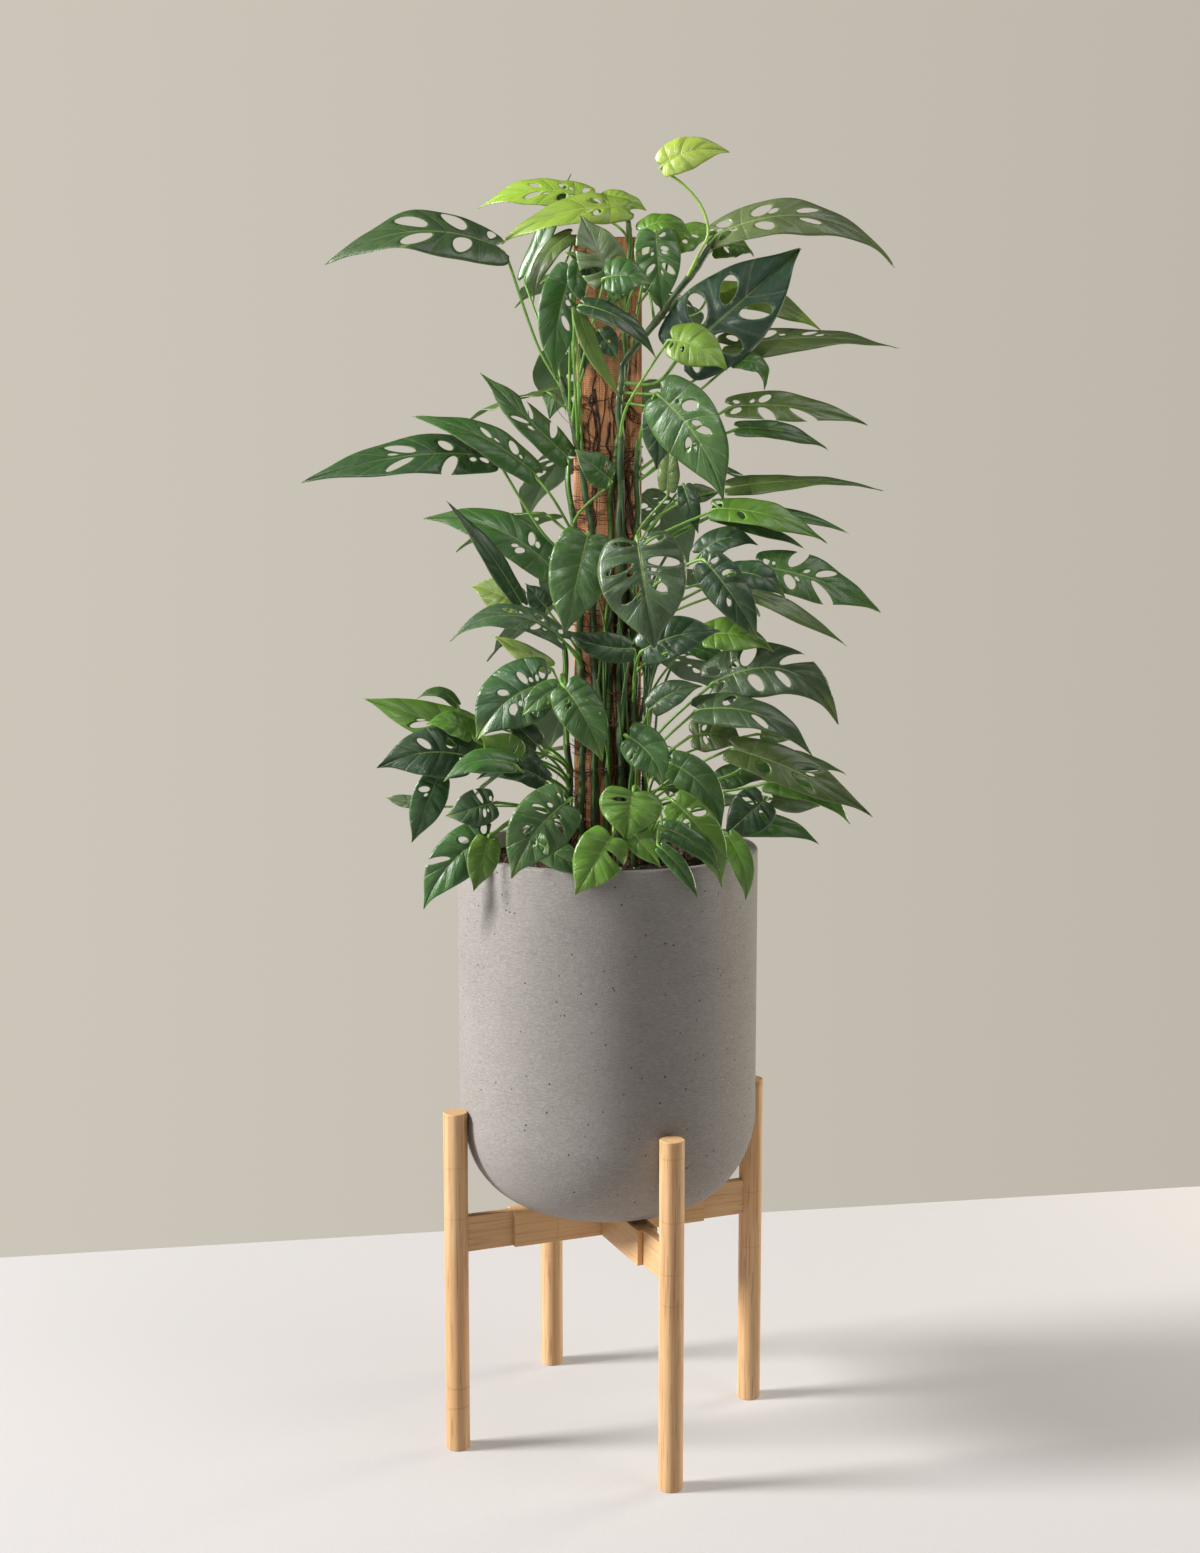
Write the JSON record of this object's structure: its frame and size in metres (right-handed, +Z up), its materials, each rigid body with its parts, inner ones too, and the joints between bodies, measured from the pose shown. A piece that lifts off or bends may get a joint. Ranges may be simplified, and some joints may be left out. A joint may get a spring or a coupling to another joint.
{
  "type": "climbing swiss-cheese plant in pot on stand",
  "caption": "Monstera adansonii climbing a rough cedar board, in a round-bottomed taupe pot that rests on an adjustable wooden stand with round legs.",
  "frame": {"origin": "on the floor under the middle of the pot, which is within 4 mm of the middle of the part's box", "axes": "+Z up along the board; the front, which the picture shows, faces -Y; +X to the viewer's right"},
  "size_m": [0.6105, 0.3595, 1.3591],
  "materials": {
    "pot": "matt, finely brushed taupe grey",
    "soil": "dark, damp potting mix",
    "cedar": "rough-sawn, unfinished",
    "bamboo": "honey-coloured, satin",
    "leaf_mid_green": "semi-gloss leaf",
    "leaf_blue_green": "semi-gloss leaf, dark bluish green",
    "leaf_lime": "semi-gloss young leaf, lime green"
  },
  "bodies": {
    "plant_and_sleeves": {"pot": "pot", "soil": "soil", "board": "cedar", "vine_low_left": "leaf_mid_green", "vine_mid_left": "leaf_mid_green", "vine_top_left": "leaf_blue_green", "vine_lime": "leaf_lime", "vine_top_right": "leaf_blue_green", "vine_mid_right": "leaf_mid_green", "vine_low_right": "leaf_mid_green", "vine_back_left": "leaf_mid_green", "vine_back_right": "leaf_mid_green", "sleeve_across_near": "bamboo", "sleeve_across_far": "bamboo", "sleeve_along_near": "bamboo", "sleeve_along_far": "bamboo"},
    "arm_right": {"leg_right": "bamboo", "bar_right": "bamboo"},
    "arm_back": {"leg_back": "bamboo", "bar_back": "bamboo"},
    "arm_left": {"leg_left": "bamboo", "bar_left": "bamboo"},
    "arm_front": {"leg_front": "bamboo", "bar_front": "bamboo"}
  },
  "joints": [
    {"name": "arm_right_slide", "type": "slide", "parent": "plant_and_sleeves", "child": "arm_right", "axis": [0.9261, 0.3772, 0], "range_m": [0, 0.01]},
    {"name": "arm_back_slide", "type": "slide", "parent": "plant_and_sleeves", "child": "arm_back", "axis": [-0.3772, 0.9261, 0], "range_m": [0, 0.01]},
    {"name": "arm_left_slide", "type": "slide", "parent": "plant_and_sleeves", "child": "arm_left", "axis": [-0.9261, -0.3772, 0], "range_m": [0, 0.01]},
    {"name": "arm_front_slide", "type": "slide", "parent": "plant_and_sleeves", "child": "arm_front", "axis": [0.3772, -0.9261, 0], "range_m": [0, 0.01]}
  ]
}
